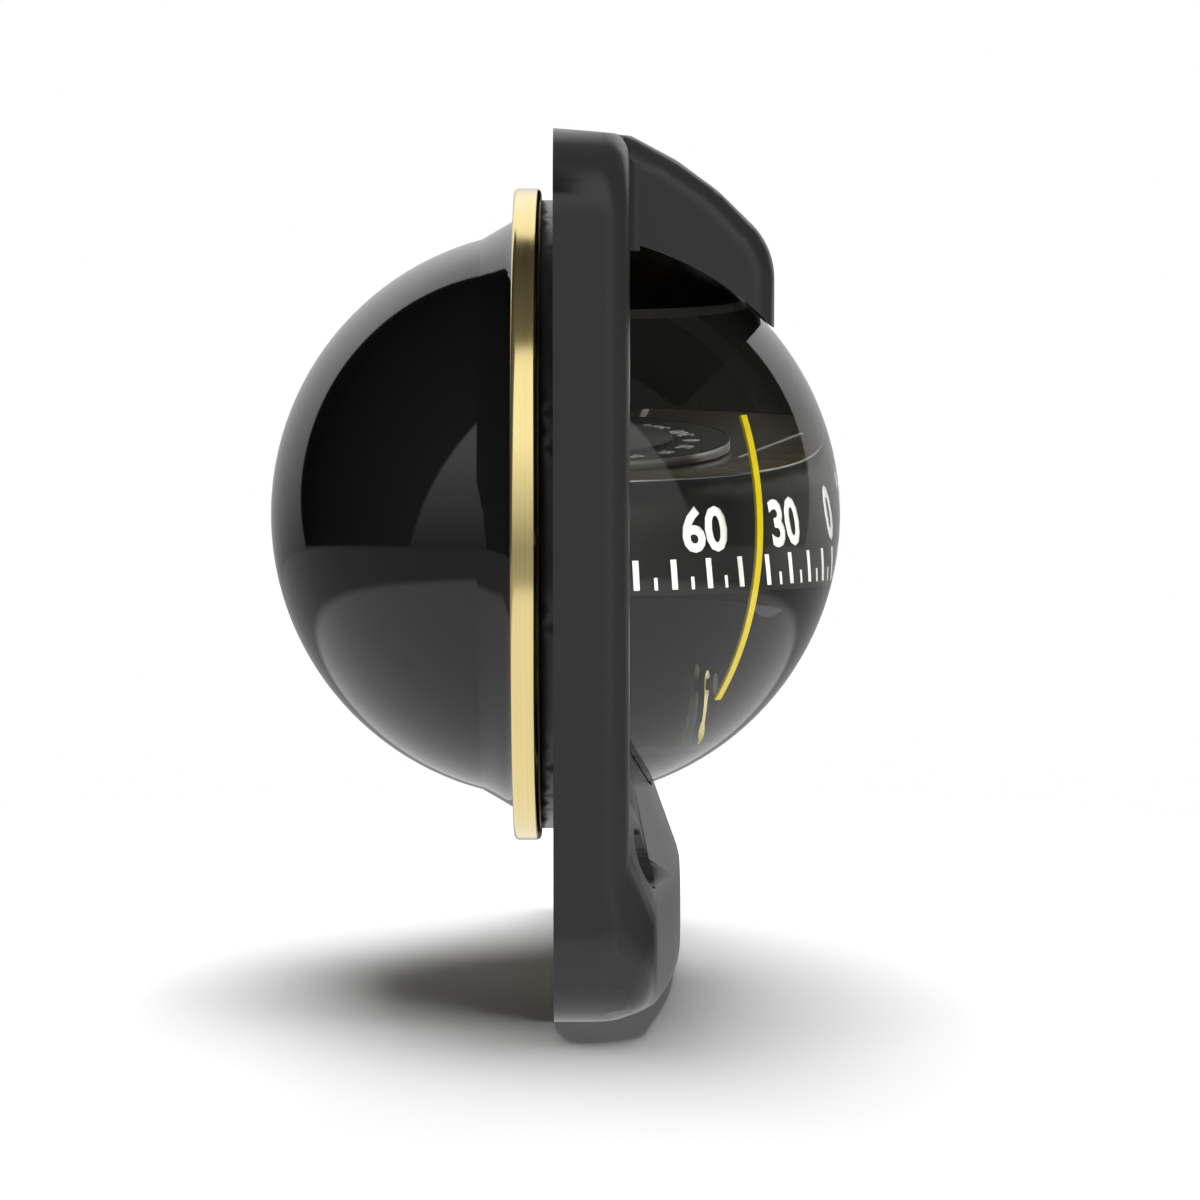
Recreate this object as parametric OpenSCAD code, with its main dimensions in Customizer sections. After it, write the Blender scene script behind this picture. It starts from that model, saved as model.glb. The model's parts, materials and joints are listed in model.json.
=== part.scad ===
// Bulkhead compass: a fluid-filled sphere held in a moulded bezel with a hood.
// Millimetres. +Z is up, the front faces -Y, the origin is the centre of the
// sphere, which lies in the plane of the bezel's back face.

/* [Sphere] */
// Outer diameter of the sphere
sphere_d = 80; // [70:0.5:90]
// Wall of the clear front dome
dome_wall = 1.5; // [1.2:0.1:2]
// Wall of the rear bowl
bowl_wall = 2; // [1.6:0.1:2.6]
// Gap between the dome and what surrounds it
dome_gap = 0.4; // [0.3:0.1:0.6]

/* [Bezel] */
// Width of the bezel
bezel_w = 108; // [104:1:116]
// Height of the bezel above the sphere's centre
bezel_up = 53.4; // [52:0.2:57]
// Height of the bezel below the sphere's centre
bezel_down = 64.6; // [61:0.1:68]
// Draft of the top and bottom, in degrees
draft_angle = 5; // [3:0.5:7]
// Depth of the rim
rim_depth = 9.9; // [9:0.1:11]
// Rounding of the rim's front edge
rim_edge_r = 3.9; // [2.5:0.1:4.5]
// Radius of the two top corners
top_corner_r = 11.5; // [10:0.5:13]
// Radius of the two bottom corners
low_corner_r = 15; // [13:0.5:16]
// Wall of the moulding
mould_wall = 2.6; // [2.2:0.1:3]
// Thickness of the stiffening ribs
rib_t = 1.8; // [1.2:0.1:2.4]

/* [Hood] */
// Half width of the hood
hood_half = 39; // [36:0.5:41]
// Distance of the hood's front from the bezel's back
hood_reach = 29.1; // [28:0.1:32]
// Radius of the roof's curve, seen from the side
roof_r = 48; // [40:0.5:52]
// Slope of the roof at its back end, in degrees
roof_slope = 24; // [20:1:30]
// Radius of the nose between the roof and the front
nose_r = 10.1; // [8:0.1:12]
// Height of the nose curve's centre
nose_up = 33.8; // [33:0.1:35]
// Slope where the roof meets the nose, in degrees
nose_slope = 48.5; // [45:0.5:52]
// Number of steps along the roof
roof_steps = 3; // [2:1:5]
// Rounding between the roof and the flanks
roof_edge_r = 3.5; // [3:0.5:6]
// Rounding inside the hood
hood_inner_r = 0.8; // [0.5:0.1:1.5]
// Height of the lip's lower edge
hood_lip_z = 27.4; // [26:0.1:28]
// How far the flanks dip inside the sphere's radius
flank_dip = 0.2; // [0.1:0.1:0.6]
// Fillet between the flanks and the rim
flank_fillet_r = 1.4; // [0.8:0.1:1.4]
// Height at which that fillet begins
fillet_low = 37.5; // [37:0.5:39]
// Height at which that fillet ends
fillet_high = 48.8; // [48:0.2:49.4]
// Wall of the hood
hood_wall = 2.8; // [2.2:0.1:3.4]

/* [Lower lip] */
// Depth of the lip at its middle
lip_depth = 17.5; // [16.5:0.1:19]
// Depth of the lip at the bottom corners
lip_side_depth = 13.7; // [13:0.1:15]
// Rounding of the lip's front edge
lip_edge_r = 4.5; // [3:0.1:5]
// Radius of the lip's swelling, seen from the side
lip_disc_r = 10; // [9:0.1:11]
// Number of steps in the lip's swelling, from side to side
lip_steps = 12; // [8:2:16]
// Depth below the centre where the lip's sides begin
lip_start = 44; // [36:1:48]
// Depth below the centre where the lip's brow begins
brow_start = 37; // [32:1:42]
// Distance of the brow's ends from the middle
brow_x = 20; // [14:1:26]
// Radius of the lip's full-depth corners
lip_corner_r = 10; // [8:0.5:12]
// Further rounding of the lip's bottom corners
lip_corner_drop = 2.5; // [1.5:0.1:3]

/* [Mounting holes] */
// Distance from the middle to a hole, sideways
hole_x = 44.5; // [44.3:0.1:46]
// Distance from the centre to a hole, up and down
hole_z = 42; // [41:0.1:44]
// Diameter of the holes
hole_d = 4.3; // [3.5:0.1:5]
// Diameter of the screw head recesses
recess_d = 8; // [7.5:0.1:10]
// Depth of the material under a screw head
recess_floor = 6; // [4.5:0.1:7]
// Wall left round a screw hole's recess
boss_wall = 1.4; // [1:0.1:2]

/* [Clamp ring and flanges] */
// Reach of the brass ring beyond the sphere
clamp_reach = 5.75; // [5.3:0.05:6.5]
// Reach of the black neck beyond the sphere
neck_reach = 4.1; // [3.9:0.05:4.5]
// Length of neck that shows
neck_len = 1.95; // [1.5:0.05:2.4]
// Clearance round the ring in the bulkhead's cut-out
cutout_gap = 1; // [0.5:0.1:2]
// Depth of the relief round the neck, in the bezel's back
relief_t = 0.5; // [0.3:0.1:1]
// Length of the spigot inside the ring
spigot_len = 0.65; // [0.5:0.05:0.9]
// Reach of the two flanges and of the spigot beyond the sphere
flange_reach = 3.3; // [3:0.05:3.5]
// Width inside the seal that stays open, from the dome's inside
seal_inset = 0.5; // [0.3:0.1:1]
// Thickness of the dome's flange
dome_flange_t = 1.2; // [1:0.05:1.5]
// Thickness of the seal
seal_t = 0.3; // [0.2:0.05:0.5]
// Thickness of the bowl's flange
bowl_flange_t = 0.95; // [0.8:0.05:1.3]
// Thickness of the ring's rear lip
clamp_lip_t = 0.7; // [0.6:0.05:1]
// Running clearance inside the ring
clamp_gap = 0.08; // [0.05:0.01:0.1]
// Rounding of the ring's rear edge
clamp_edge_r = 0.7; // [0.4:0.1:0.9]
// Distance behind the bezel where the bowl's flare ends
flare_back = 10.2; // [9.5:0.1:11]
// Reach of the bowl's flare beyond the sphere, beside its flange
flare_reach = 1.7; // [1.2:0.1:2]
// Clearance between the flare and the ring's lip
flare_gap = 0.15; // [0.1:0.05:0.3]

/* [Card] */
// Room round the skirt's lower edge, inside the bowl
card_room = 8.2; // [7.5:0.1:9.5]
// Taper of the skirt, from its lower edge to its top rim
card_taper = 3.3; // [2.5:0.1:4.5]
// Height of the card's top
card_top_z = 5.9; // [5.5:0.1:6.2]
// Depth of the skirt below the sphere's centre
card_drop = 8; // [7:0.1:8.5]
// Wall of the card
card_wall = 0.8; // [0.6:0.05:1]
// Radius of the raised disc
disc_r = 17; // [16.6:0.1:18]
// Height of the raised disc above the card's top
disc_rise = 1.1; // [1.1:0.05:1.4]
// Radius of the cap
cap_r = 11.5; // [9:0.1:13]
// Radius of the cap's flat top
cap_top_r = 5; // [3.5:0.1:6.5]
// Height of the cap
cap_h = 1.8; // [1.3:0.1:2.4]
// Radius of the jewel cup's stem
jewel_r = 1.9; // [1.6:0.1:2.2]
// Radius of the jewel cup's flange
jewel_flange_r = 2.8; // [2.6:0.1:3.2]
// Thickness of the jewel cup's flange
jewel_flange_t = 0.8; // [0.7:0.05:1]
// Length of each card magnet
magnet_l = 24; // [16:0.5:26]
// Width of each card magnet
magnet_w = 2.5; // [2:0.1:3]
// Height of each card magnet
magnet_h = 1.8; // [1.4:0.1:2.2]
// Distance of the card magnets in from the card's top rim
magnet_inset = 7.5; // [6.9:0.1:7.9]

/* [Gimbal] */
// Outer radius of the gimbal ring
ring_r = 9; // [8.6:0.1:9.2]
// Radial width of the gimbal ring
ring_w = 2; // [1.6:0.1:2.2]
// Height of the gimbal ring
ring_h = 2.4; // [2:0.1:2.6]
// Diameter of the gimbal pins
pin_d = 1.6; // [1.2:0.1:1.8]
// Radial clearance of pins and shafts in their bores
run_gap = 0.05; // [0.03:0.01:0.08]
// Sideways clearance between moving faces
side_gap = 0.4; // [0.3:0.05:0.6]
// Thickness of a fork arm
arm_t = 2.2; // [1.8:0.1:2.4]
// Radius of a fork arm's top
arm_top_r = 1.8; // [1.6:0.1:1.9]
// Half width of a fork arm at its foot
arm_foot = 3.6; // [2.6:0.1:4.5]
// Depth of the bowl below the fork's base
base_lift = 7.6; // [7:0.1:8.2]
// Thickness of the fork's base
base_t = 1.5; // [1.2:0.1:2]
// Clearance of the base and the diaphragm's frame in the bowl
seat_gap = 0.3; // [0.2:0.05:0.4]
// Radius of the vent holes in the base
vent_r = 1.6; // [1:0.1:2]
// Distance of the vent holes from the middle
vent_x = 14.8; // [14:0.2:16]
// Radius of the cradle's boss
boss_r = 4; // [3.4:0.1:4.4]
// Height of the cradle's boss above the pins' axis
boss_up = 2; // [1.6:0.1:2.4]
// Depth of the cradle's boss below the pins' axis
boss_down = 4; // [3:0.1:5]
// Radius of the counterweight
weight_r = 4.4; // [3.6:0.1:4.6]
// Height of the counterweight
weight_h = 8.5; // [6:0.1:9.5]
// Radius of the pivot post
post_r = 0.7; // [0.5:0.05:0.9]
// Radius of the pivot post's tip
tip_r = 0.15; // [0.1:0.01:0.2]
// Gap between the tip and the jewel
tip_gap = 0.1; // [0.05:0.01:0.2]

/* [Diaphragm] */
// Depth of the diaphragm's frame below the top of the bowl
dia_drop = 11; // [10:0.2:12]
// Thickness of the frame
dia_frame_t = 1.6; // [1.2:0.1:2]
// Width of the frame outside the diaphragm
dia_margin = 7.7; // [6.5:0.1:9.5]
// Thickness of the diaphragm's sheet
dia_t = 0.5; // [0.4:0.05:0.7]
// Number of corrugations
dia_waves = 5; // [3:1:7]
// Width of the ring that carries the diaphragm
dia_ring_w = 2.4; // [2:0.1:3]
// Thickness of that ring
dia_ring_t = 1; // [0.8:0.1:1.4]
// Radial depth of the shelves inside the bowl
shelf_w = 4; // [3:0.5:5]
// Thickness of the shelves
shelf_t = 1.6; // [1.2:0.1:2]

/* [Lubber lines] */
// Clearance between the lubber lines and the dome
lubber_gap = 0.06; // [0.03:0.01:0.1]
// Width of a lubber line
lubber_w = 1.1; // [0.8:0.1:1.6]
// Thickness of a lubber line
lubber_t = 0.7; // [0.5:0.1:1]
// Upper end of the lubber lines, in degrees above level
lubber_up = 23; // [18:1:28]
// Lower end of the lubber lines, in degrees below level
lubber_down = 37; // [30:1:40]
// Angle of the side lubber lines from the front
lubber_side = 45; // [40:1:50]

/* [Clinometer] */
// Distance of the clinometer's plate in from the base's front edge
clino_inset = 9.5; // [7.5:0.1:9.5]
// Height of the clinometer's pin above the base's underside
clino_rise = 13.4; // [12.9:0.1:13.9]
// Radius of the plate round the pin
clino_hub_r = 2.2; // [1.8:0.1:2.6]
// Half width of the plate at the base
clino_half = 7; // [5:0.5:9]
// Length of the pointer below its pin
clino_l = 9; // [8:0.1:9.5]
// Radius of the pointer's hub
pointer_hub_r = 1.5; // [1.3:0.1:1.8]
// Half width of the pointer at its hub
pointer_half = 0.9; // [0.7:0.1:1.2]
// Half width of the pointer's tip
pointer_tip_half = 0.35; // [0.2:0.05:0.5]
// Radius of the pointer's weight
pointer_weight_r = 1.4; // [1.2:0.1:2]
// Diameter of the pointer's pin
clino_pin_d = 1.2; // [1:0.1:1.4]
// Reach of the pin's head beyond the pin
clino_head_reach = 0.6; // [0.4:0.1:0.8]
// Thickness of the pin's head
clino_head_t = 0.5; // [0.4:0.1:0.8]
// Thickness of the clinometer's plate
clino_plate_t = 1; // [0.8:0.1:1.4]
// Thickness of the pointer
clino_pointer_t = 0.7; // [0.5:0.1:1]

/* [Compensator] */
// Distance of each adjuster from the middle
adj_x = 13; // [12:0.1:14]
// Distance of the adjusters from the bezel's back
adj_y = 8; // [7.5:0.1:8.5]
// Radius of an adjuster's slotted head
adj_r = 2.5; // [2.2:0.1:2.8]
// Radius of an adjuster's upper journal
adj_top_r = 1.5; // [1.2:0.1:1.8]
// Radius of the collar that holds an adjuster in
adj_collar_r = 3.6; // [3.3:0.1:4]
// Thickness of the collar
adj_collar_t = 1; // [0.8:0.1:1.4]
// Width of the slot for a screwdriver
slot_w = 0.9; // [0.6:0.1:1.2]
// Depth of the slot
slot_depth = 1.2; // [0.8:0.1:1.6]
// Depth of an adjuster's head inside the bezel's underside
head_sink = 0.5; // [0.4:0.05:0.8]
// End clearance of an adjuster's collar and journal
end_gap = 0.3; // [0.2:0.05:0.4]
// Diameter of a compensator magnet
comp_magnet_d = 2.4; // [2:0.1:2.8]
// Length of a compensator magnet
comp_magnet_l = 10; // [8:0.1:10.5]
// Half width of the compensator's chamber
chamber_half = 21; // [20:0.1:22]
// Depth of the chamber from the bezel's back
chamber_depth = 14.1; // [14:0.1:14.4]
// Height of the chamber
chamber_h = 10.5; // [10:0.1:11]
// Thickness of the web above the chamber
web_t = 2.5; // [2:0.1:3]
// Material left above an adjuster's upper journal
web_roof = 0.4; // [0.4:0.1:0.8]
// Thickness of the chamber's back cover
cover_t = 1.4; // [1:0.1:1.8]
// Clearance round the back cover
cover_gap = 0.15; // [0.1:0.05:0.3]

/* [Filler plug] */
// Diameter of the filler plug
plug_d = 8; // [7:0.1:9]
// Length of the filler plug
plug_l = 3.6; // [3.2:0.1:4.5]
// Clearance of the plug in its hole
plug_gap = 0.05; // [0.03:0.01:0.08]
// Reach of the plug's head beyond its hole
plug_head_reach = 1.3; // [1:0.1:1.6]
// Thickness of the plug's head
plug_head_t = 0.6; // [0.5:0.1:0.8]
// Depth of the plug's head below the bowl's outside
plug_sink = 0.2; // [0.1:0.1:0.4]
// Thickness of the plug's seal
plug_seal_t = 0.4; // [0.3:0.1:0.6]
// Width of the boss round the plug's hole
plug_boss_w = 2; // [1.6:0.1:2.5]
// Angle of the plug behind the side, in degrees
plug_turn = 35; // [25:1:45]
// Angle of the plug below level, in degrees
plug_drop = 25; // [15:1:35]

/* [Hidden] */
$fn = 96;
e = 0.01;

sphere_r = sphere_d / 2;
dome_in = sphere_r - dome_wall;
bowl_in = sphere_r - bowl_wall;
flange_r = sphere_r + flange_reach;
clamp_r = sphere_r + clamp_reach;
flare_r = sphere_r + flare_reach;
spigot_end = neck_len + spigot_len;
seal_front = spigot_end + dome_flange_t;
bowl_flange_front = seal_front + seal_t;
bowl_flange_back = bowl_flange_front + bowl_flange_t;
clamp_back = bowl_flange_back + clamp_lip_t;
collar_r = sphere_r + neck_reach;
nose_u = hood_reach - nose_r;
card_low_r = bowl_in - card_room;
card_top_r = card_low_r - card_taper;
magnet_off = card_top_r - magnet_inset;
disc_top = card_top_z + disc_rise;
disc_under = disc_top - card_wall;
ring_in = ring_r - ring_w;
pin_r = pin_d / 2;
arm_in = ring_r + 1;
arm_out = arm_in + arm_t;
base_z = bowl_in - base_lift;
base_top = -base_z + base_t;
base_r = sqrt(pow(bowl_in, 2) - pow(base_z, 2)) - seat_gap;
clino_y = base_r - clino_inset;
clino_z = base_z - clino_rise;
pin_reach = clino_plate_t + clino_pointer_t + 2 * side_gap;
dia_z = bowl_in - dia_drop;
dia_shelf_z = dia_z + dia_frame_t;
frame_r = sqrt(pow(bowl_in, 2) - pow(dia_shelf_z, 2)) - seat_gap;
dia_r = frame_r - dia_margin;
plug_seat = plug_sink + plug_head_t + plug_seal_t;
chamber_low = -bezel_down + mould_wall;
chamber_top = chamber_low + chamber_h;
web_top = chamber_top + web_t;
comp_z = (chamber_low + chamber_top) / 2;
jewel_low = disc_under - jewel_flange_t;
jewel_apex = disc_under + 0.4;
lubber_r = dome_in - lubber_gap;
far = 3 * bezel_w;

// The bezel's face lies in the XY plane of these helpers and depth is their Z.
module face() rotate([90, 0, 0]) children();
module turned() rotate([90, 0, 0]) rotate_extrude() children();

// Half section of a disc with its front edge rounded
module edge_profile(r, depth, edge) {
    square([r, depth - edge]);
    square([r - edge, depth]);
    translate([r - edge, depth - edge]) circle(edge, $fn = 48);
}

// The part of the half section that may be revolved
module edge_half(r, depth, edge) {
    intersection() {
        edge_profile(r, depth, edge);
        square([r, depth]);
    }
}

module soft_disc(r, depth, edge) rotate_extrude() edge_half(r, depth, edge);

module small_disc(r, depth, edge) rotate_extrude($fn = 32) edge_half(r, depth, edge);

// Straight stretch of rounded rim, its outer side at x = out
module rim_bar(out, length) {
    translate([out - top_corner_r, 0, 0])
        rotate([90, 0, 0])
            linear_extrude(length, center = true)
                edge_half(top_corner_r, rim_depth, rim_edge_r);
}

module rim_plate() {
    side_top = bezel_up - top_corner_r;
    side_low = bezel_down - low_corner_r;
    for (s = [-1, 1]) {
        translate([s * (bezel_w / 2 - top_corner_r), side_top, 0])
            soft_disc(top_corner_r, rim_depth, rim_edge_r);
        translate([s * (bezel_w / 2 - low_corner_r), -side_low, 0])
            soft_disc(low_corner_r, rim_depth, rim_edge_r);
        translate([0, (side_top - side_low) / 2, 0])
            rotate([0, 0, s > 0 ? 0 : 180])
                rim_bar(bezel_w / 2, side_top + side_low);
    }
    rotate([0, 0, 90]) rim_bar(bezel_up, bezel_w - 2 * top_corner_r);
    rotate([0, 0, -90]) rim_bar(bezel_down, bezel_w - 2 * low_corner_r);
    linear_extrude(rim_depth) {
        translate([-bezel_w / 2 + low_corner_r, -bezel_down + rim_edge_r])
            square([bezel_w - 2 * low_corner_r, bezel_up + bezel_down - 2 * rim_edge_r]);
        translate([-bezel_w / 2 + rim_edge_r, -side_low])
            square([bezel_w - 2 * rim_edge_r, side_top + side_low]);
    }
}

module lip_corner(side) {
    lean = (low_corner_r - lip_corner_r) * sqrt(0.5);
    translate([side * (bezel_w / 2 - low_corner_r + lean), -bezel_down + low_corner_r - lean, 0])
        small_disc(lip_corner_r, lip_side_depth, lip_edge_r);
}

// Lower lip: the sides deepen downwards, and the middle swells further
module lip_solid() {
    corner_x = bezel_w / 2 - low_corner_r;
    hull()
        for (s = [-1, 1]) {
            translate([s * (bezel_w / 2 - top_corner_r), -lip_start, 0])
                small_disc(top_corner_r, rim_depth, rim_edge_r);
            translate([s * corner_x, -bezel_down + low_corner_r, 0])
                small_disc(low_corner_r, lip_side_depth - lip_corner_drop, lip_edge_r);
            lip_corner(s);
        }
    hull() {
        for (s = [-1, 1]) {
            translate([s * brow_x, -brow_start, 0])
                small_disc(top_corner_r, rim_depth, rim_edge_r);
            lip_corner(s);
        }
        for (i = [1 : lip_steps - 1]) {
            x = corner_x * (2 * i / lip_steps - 1);
            swell = (lip_depth - lip_side_depth) * pow(x / corner_x, 2);
            translate([x, -bezel_down + lip_disc_r, 0])
                small_disc(lip_disc_r, lip_depth - swell, lip_edge_r);
        }
    }
}

// Drum with rounded ends across the hood, u ahead of the bezel's back and v up
module hood_drum(u, v, r, half, edge) {
    translate([0, -u, v])
        rotate([0, 90, 0])
            rotate_extrude()
                intersection() {
                    translate([0, -half]) square([r, 2 * half]);
                    union() {
                        translate([0, -half]) square([r - edge, 2 * half]);
                        translate([0, -half + edge]) square([r, 2 * (half - edge)]);
                        for (s = [-1, 1])
                            translate([r - edge, s * (half - edge)]) circle(edge, $fn = 24);
                    }
                }
}

// Drums set along the roof's arc, which the nose and the upright front carry on
module hood_form(inset, edge) {
    arm = roof_r - nose_r;
    r = nose_r - inset;
    half = hood_half - inset;
    hull() {
        for (i = [0 : roof_steps]) {
            slope = roof_slope + (nose_slope - roof_slope) * i / roof_steps;
            hood_drum(nose_u + arm * (sin(slope) - sin(nose_slope)),
                nose_up + arm * (cos(slope) - cos(nose_slope)), r, half, edge);
        }
        hood_drum(nose_u, hood_lip_z, r, half, edge);
    }
}

module hood_solid() {
    difference() {
        intersection() {
            hood_form(0, roof_edge_r, $fn = 72);
            translate([-hood_half, -hood_reach - 1, hood_lip_z])
                cube([2 * hood_half, hood_reach + 1 - rim_depth / 2, bezel_up]);
        }
        intersection() {
            hood_form(hood_wall, hood_inner_r, $fn = 32);
            translate([-bezel_w, -hood_reach, 0])
                cube([2 * bezel_w, hood_reach - rim_depth, bezel_up]);
        }
        translate([-bezel_w, 0, 0])
            rotate([0, 90, 0])
                cylinder(h = 2 * bezel_w, r = sphere_r - flank_dip, $fn = 160);
    }
    for (s = [0, 1])
        mirror([s, 0, 0]) translate([hood_half, -rim_depth, fillet_low]) flank_fillet();
}

// Hollow quarter round in the corner between a flank and the rim
module flank_fillet() {
    linear_extrude(fillet_high - fillet_low) difference() {
        translate([-e, -flank_fillet_r]) square(flank_fillet_r + e);
        translate([flank_fillet_r, -flank_fillet_r]) circle(flank_fillet_r, $fn = 48);
    }
}

// Wedge between the drafted top and bottom of the bezel
module drafted_space() {
    fall = far * tan(draft_angle);
    translate([-far / 2, 0, 0]) rotate([90, 0, 90]) linear_extrude(far)
        polygon([[0, bezel_up], [-far, bezel_up - fall], [-far, fall - bezel_down], [0, -bezel_down]]);
}

// Corner bosses, ribs and the collar that stay when the back is cored out
module core_keep() {
    circle(collar_r + mould_wall / 2);
    for (x = [-1, 1], z = [-1, 1])
        translate([x * hole_x, z * hole_z]) circle(recess_d / 2 + boss_wall);
    for (a = [0, 45, 135, 180, 225, 315])
        rotate(a) translate([0, -rib_t / 2]) square([bezel_w, rib_t]);
    translate([-chamber_half - mould_wall, -bezel_down])
        square([2 * (chamber_half + mould_wall), web_top + bezel_down]);
}

module core_outline() {
    difference() {
        translate([-bezel_w / 2 + low_corner_r, -bezel_down + mould_wall])
            square([bezel_w - 2 * low_corner_r, bezel_up + bezel_down - 2 * mould_wall]);
        core_keep();
    }
    difference() {
        translate([-bezel_w / 2 + mould_wall, -bezel_down + low_corner_r])
            square([bezel_w - 2 * mould_wall, bezel_up + bezel_down - top_corner_r - low_corner_r]);
        core_keep();
    }
}

// Shallow ring in the back, so that the bulkhead clears the brass ring
module neck_relief() translate([0, 0, -e]) difference() {
    cylinder(h = relief_t + e, r = clamp_r + cutout_gap);
    translate([0, 0, -1]) cylinder(h = relief_t + 2, r = collar_r);
}

module bezel() color("#363636")
    difference() {
        union() {
            intersection() {
                union() {
                    face() rim_plate();
                    face() lip_solid();
                    hood_solid();
                }
                drafted_space();
            }
            face() translate([0, 0, -neck_len]) cylinder(h = neck_len + e, r = collar_r);
            face() translate([0, 0, -spigot_end])
                cylinder(h = spigot_end, r = flange_r - clamp_gap);
        }
        sphere(sphere_r + dome_gap, $fn = 128);
        face() translate([0, 0, -spigot_end - 1])
            cylinder(h = spigot_end + 1, r = sphere_r + dome_gap);
        face() translate([0, 0, -e]) linear_extrude(rim_depth - mould_wall) core_outline();
        face() neck_relief();
        for (x = [-1, 1], z = [-1, 1])
            translate([x * hole_x, 0, z * hole_z]) face() {
                translate([0, 0, -1]) cylinder(h = hood_reach, d = hole_d);
                translate([0, 0, recess_floor]) cylinder(h = hood_reach, d = recess_d);
            }
        translate([-chamber_half, -chamber_depth, chamber_low])
            cube([2 * chamber_half, chamber_depth + 1, chamber_h]);
        for (s = [-1, 1])
            translate([s * adj_x, -adj_y, 0]) {
                translate([0, 0, -bezel_down - 1])
                    cylinder(h = mould_wall + 2, r = adj_r + run_gap);
                translate([0, 0, chamber_top - 1])
                    cylinder(h = web_t + 1 - web_roof, r = adj_top_r + run_gap);
            }
    }

module front_dome() color("#c8d2d2", 0.35) turned() difference() {
    union() {
        intersection() {
            circle(sphere_r, $fn = 160);
            square(sphere_r);
        }
        translate([0, -seal_front]) square([sphere_r, seal_front]);
        translate([0, -seal_front]) square([flange_r - clamp_gap, dome_flange_t]);
    }
    circle(dome_in, $fn = 160);
    translate([0, -seal_front - 1]) square([dome_in, seal_front + 1]);
}

module dome_seal() color("#202020") turned()
    translate([dome_in + seal_inset, -bowl_flange_front])
        square([flange_r - clamp_gap - dome_in - seal_inset, seal_t]);

// Half-ring shelf inside the bowl, cut to the sphere and kept to the rear half
module shelf(z, r_in) {
    intersection() {
        difference() {
            sphere(bowl_in + bowl_wall / 2);
            translate([0, 0, -sphere_r]) cylinder(h = sphere_d, r = r_in);
        }
        translate([-sphere_r, bowl_flange_back, z]) cube([sphere_d, sphere_r, shelf_t]);
    }
}

// Places its children at the filler plug, with Z pointing outwards
module at_plug()
    rotate([0, 0, plug_turn]) rotate([0, 90 + plug_drop, 0])
        translate([0, 0, sphere_r]) children();

module rear_bowl() color("#1c1c1c") difference() {
    union() {
        turned() difference() {
            union() {
                intersection() {
                    circle(sphere_r, $fn = 160);
                    translate([0, -sphere_r]) square([sphere_r, sphere_r - flare_back]);
                }
                polygon([[0, -flare_back],
                    [sqrt(pow(sphere_r, 2) - pow(flare_back, 2)), -flare_back],
                    [flare_r, -bowl_flange_back], [0, -bowl_flange_back]]);
                translate([0, -bowl_flange_back])
                    square([flange_r - clamp_gap, bowl_flange_t]);
            }
            circle(bowl_in, $fn = 160);
        }
        shelf(-base_z - shelf_t, base_r - shelf_w);
        shelf(dia_shelf_z, frame_r - shelf_w);
        at_plug() translate([0, 0, -plug_l - plug_head_t])
            cylinder(h = plug_l, d = plug_d + 2 * plug_boss_w);
    }
    at_plug() {
        translate([0, 0, -plug_l - 2]) cylinder(h = plug_l + 4, d = plug_d + 2 * plug_gap);
        translate([0, 0, -plug_seat])
            cylinder(h = plug_seat + 1, r = plug_d / 2 + plug_head_reach + plug_sink);
    }
}

module clamp_ring() color("#c9a227") turned() difference() {
    union() {
        translate([0, -clamp_back + clamp_edge_r])
            square([clamp_r, clamp_back - neck_len - clamp_edge_r]);
        translate([0, -clamp_back]) square([clamp_r - clamp_edge_r, clamp_edge_r]);
        translate([clamp_r - clamp_edge_r, -clamp_back + clamp_edge_r])
            circle(clamp_edge_r, $fn = 32);
    }
    translate([0, -bowl_flange_back]) square([flange_r, bowl_flange_back]);
    translate([0, -clamp_back - 1]) square([flare_r + flare_gap, clamp_back]);
}

module diaphragm_frame() color("#1e1e1c")
    difference() {
        translate([0, 0, dia_z]) cylinder(h = dia_frame_t, r = frame_r);
        translate([0, 0, dia_z - 1]) cylinder(h = dia_frame_t + 2, r = dia_r - dia_ring_w);
    }

module expansion_diaphragm() color("#4a4530")
    rotate_extrude() {
        pitch = (dia_r - dia_ring_w) / (dia_waves + 0.5);
        translate([0, dia_z - dia_t]) square([dia_r, dia_t]);
        for (i = [1 : dia_waves])
            translate([i * pitch, dia_z - dia_t]) intersection() {
                circle(pitch * 0.3, $fn = 24);
                translate([-pitch, -pitch]) square([2 * pitch, pitch + e]);
            }
    }

module diaphragm_ring() color("#8b8b88")
    difference() {
        translate([0, 0, dia_z - dia_t - dia_ring_t]) cylinder(h = dia_ring_t, r = dia_r);
        translate([0, 0, dia_z - dia_t - dia_ring_t - 1])
            cylinder(h = dia_ring_t + 2, r = dia_r - dia_ring_w);
    }

module filler_plug() color("#2c2c2c") at_plug() difference() {
    union() {
        translate([0, 0, -plug_l]) cylinder(h = plug_l - plug_sink, d = plug_d);
        translate([0, 0, -plug_sink - plug_head_t])
            cylinder(h = plug_head_t, r = plug_d / 2 + plug_head_reach);
    }
    translate([-plug_d, -slot_w / 2, -plug_sink - slot_depth / 3])
        cube([2 * plug_d, slot_w, 1]);
}

module filler_seal() color("#151515") at_plug() difference() {
    translate([0, 0, -plug_seat])
        cylinder(h = plug_seal_t, r = plug_d / 2 + plug_head_reach - plug_gap);
    translate([0, 0, -2]) cylinder(h = 2, d = plug_d + 2 * plug_gap);
}

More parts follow.
